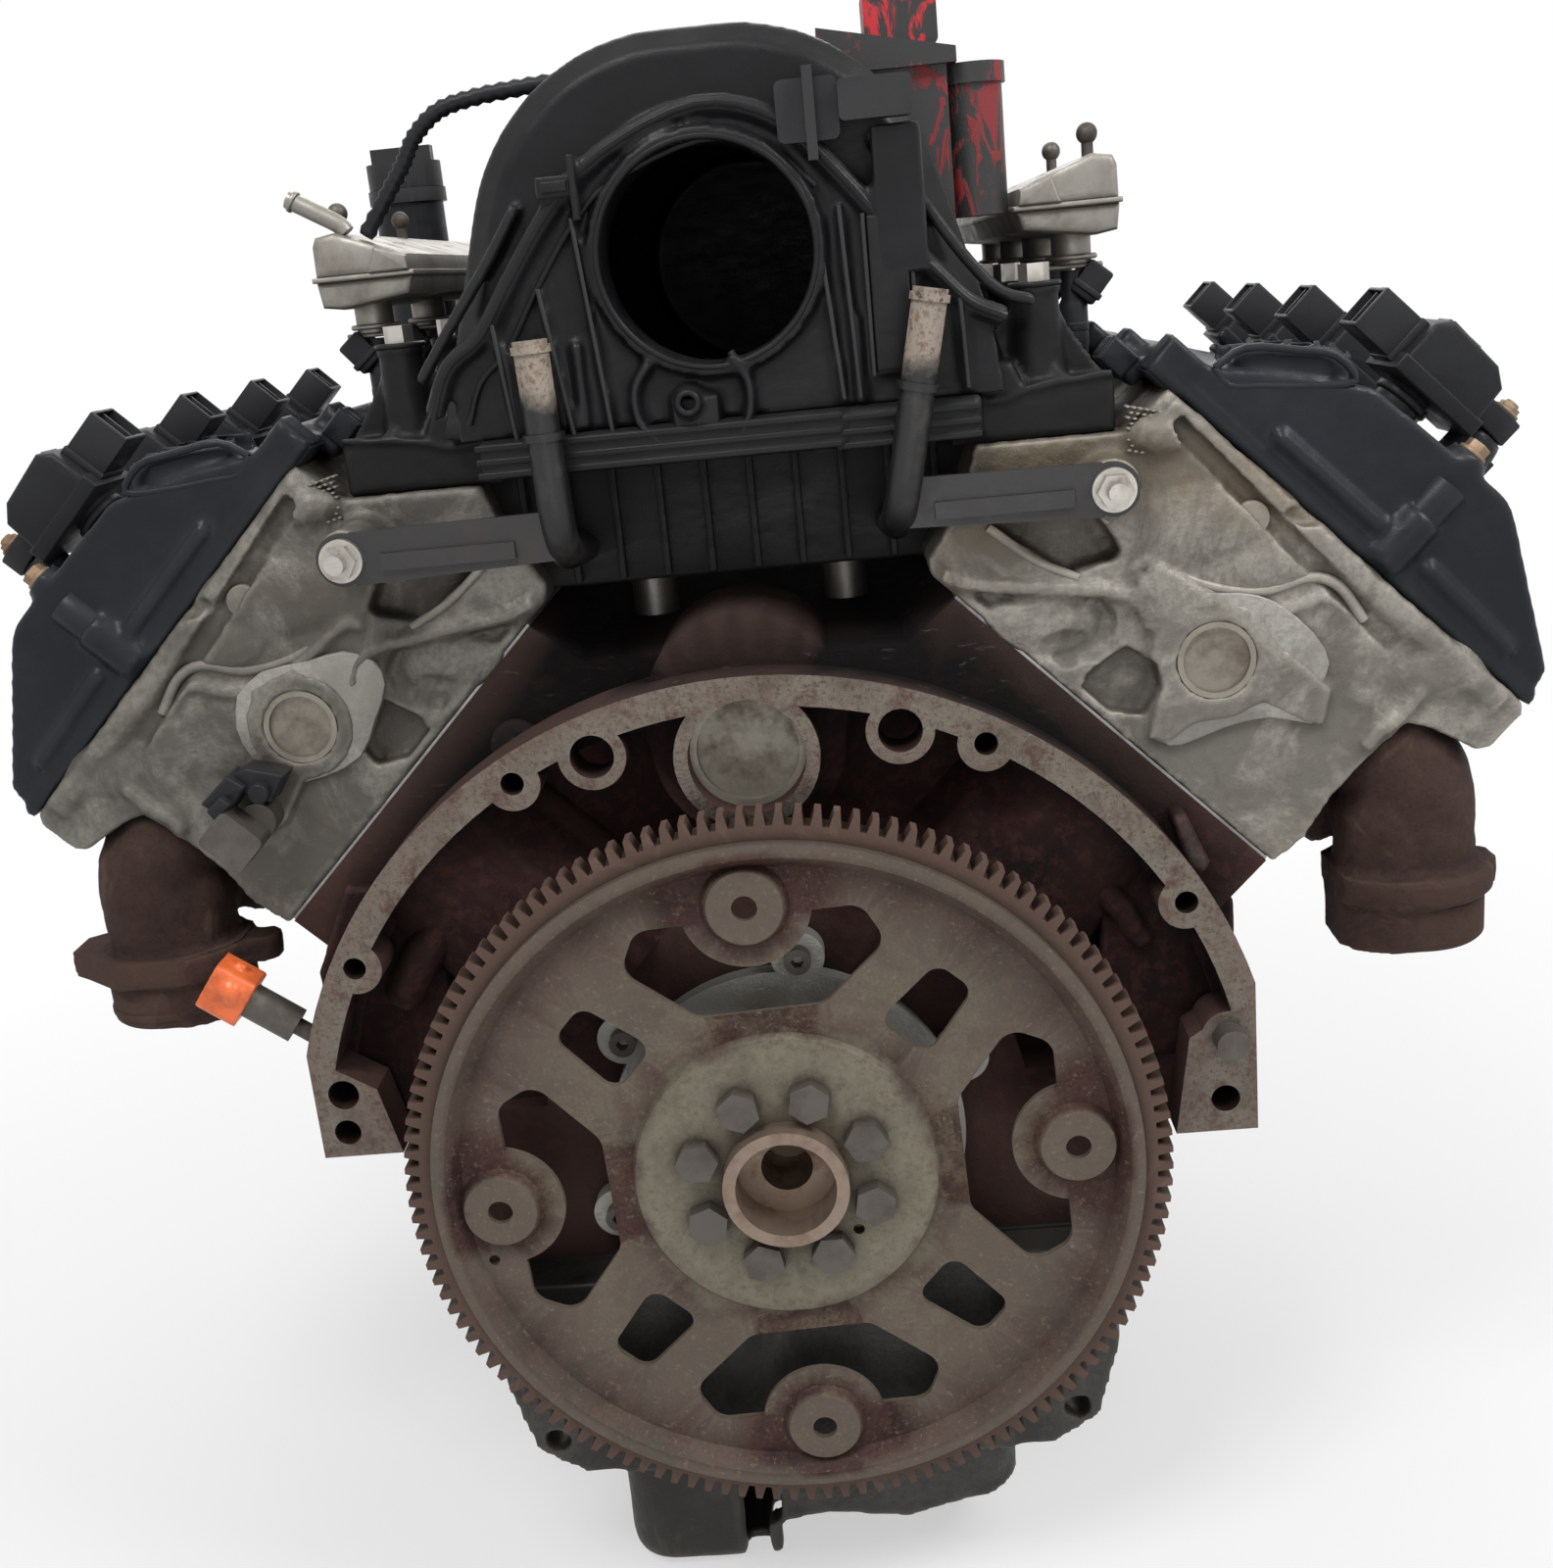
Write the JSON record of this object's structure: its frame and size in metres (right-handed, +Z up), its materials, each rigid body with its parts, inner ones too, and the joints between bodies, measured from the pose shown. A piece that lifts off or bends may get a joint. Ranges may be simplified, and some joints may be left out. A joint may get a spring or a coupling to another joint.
{
  "type": "car engine",
  "caption": "V8 car engine with cast block, two heads, black plastic intake and covers, coil packs, fuel rails, sump, flexplate and ring gear.",
  "frame": {"origin": "on the crankshaft axis, in the face that the gearbox bolts to", "axes": "+X right when seen from the gearbox end, +Y towards the front of the engine, +Z up"},
  "size_m": [0.6888, 0.668, 0.723],
  "materials": {
    "iron": "rough cast, rusty brown over dark grey",
    "rust_steel": "pressed steel with a thin even rust",
    "dark_steel": "dull",
    "bright_steel": "machined",
    "bearing_metal": "smooth",
    "cast_aluminium": "cast, stained",
    "piston_aluminium": "machined",
    "black_plastic": "satin",
    "base_plastic": "satin, ribbed",
    "pewter": "satin",
    "rust_iron": "rusty, rough",
    "corroded_tube": "corroded",
    "gasket": "thin sheet",
    "seal_rubber": "matt",
    "orange_seal": "smooth",
    "orange_cap": "smooth",
    "painted_black": "satin"
  },
  "bodies": {
    "engine": {"engine_block": "iron", "main_bearing_caps": "iron", "pistons": "piston_aluminium", "wrist_pins": "bright_steel", "seal_retainer": "cast_aluminium", "block_bolts": "dark_steel", "crank_seals": "seal_rubber", "core_plugs": "dark_steel", "timing_chain": "dark_steel", "timing_cover": "cast_aluminium", "oil_pump": "cast_aluminium", "water_pump_housing": "cast_aluminium", "bearings": "bearing_metal", "thermostat_housing": "cast_aluminium", "right_cylinder_head": "cast_aluminium", "left_cylinder_head": "cast_aluminium", "right_valve_cover": "black_plastic", "left_valve_cover": "black_plastic", "right_ignition_coils": "black_plastic", "left_ignition_coils": "black_plastic", "right_fuel_rail": "pewter", "left_fuel_rail": "pewter", "right_exhaust_manifold": "rust_iron", "left_exhaust_manifold": "rust_iron", "head_gaskets": "gasket", "exhaust_gaskets": "gasket", "heater_pipes": "corroded_tube", "pipe_straps": "painted_black", "cover_and_coil_bolts": "bright_steel", "intake_manifold": "black_plastic", "intake_base": "base_plastic", "intake_and_strap_bolts": "bright_steel", "fuel_injectors": "black_plastic", "injector_seals": "orange_seal", "cover_ball_studs": "bright_steel", "oil_pan": "cast_aluminium", "oil_pan_gasket": "gasket", "oil_pan_bolts": "dark_steel", "oil_filler_neck": "black_plastic", "vacuum_reservoir": "black_plastic", "reservoir_lid": "black_plastic", "reservoir_solenoid": "painted_black", "map_sensor": "black_plastic", "hose_conduit": "black_plastic", "sensors": "dark_steel", "sensor_cap": "orange_cap", "valley_solenoids": "bright_steel"},
    "crank": {"crankshaft": "dark_steel", "flexplate": "rust_steel", "ring_gear": "rust_steel", "flexplate_bolts": "dark_steel", "crank_sprocket": "dark_steel", "damper_hub": "dark_steel", "damper_rubber": "seal_rubber", "damper_ring": "dark_steel", "damper_bolt": "bright_steel"},
    "cam": {"camshaft": "dark_steel", "cam_sprocket": "dark_steel"},
    "pump_rotor": {"water_pump_rotor": "bright_steel"},
    "filler_cap": {"oil_filler_cap": "black_plastic"}
  },
  "joints": [
    {"name": "crank_spin", "type": "hinge", "parent": "engine", "child": "crank", "pos_m": [0, 0, 0], "axis": [0, 1, 0], "continuous": true},
    {"name": "cam_spin", "type": "hinge", "parent": "engine", "child": "cam", "pos_m": [0, 0, 0.184], "axis": [0, 1, 0], "continuous": true},
    {"name": "water_pump_spin", "type": "hinge", "parent": "engine", "child": "pump_rotor", "pos_m": [0, 0, 0.172], "axis": [0, 1, 0], "continuous": true},
    {"name": "filler_cap_twist", "type": "hinge", "parent": "engine", "child": "filler_cap", "pos_m": [-0.197, 0.3995, 0.45], "axis": [0, 0, 1], "range_deg": [0, 90]}
  ],
  "couplings": [
    {"joint": "cam_spin", "follows": "crank_spin", "ratio": 0.5}
  ]
}
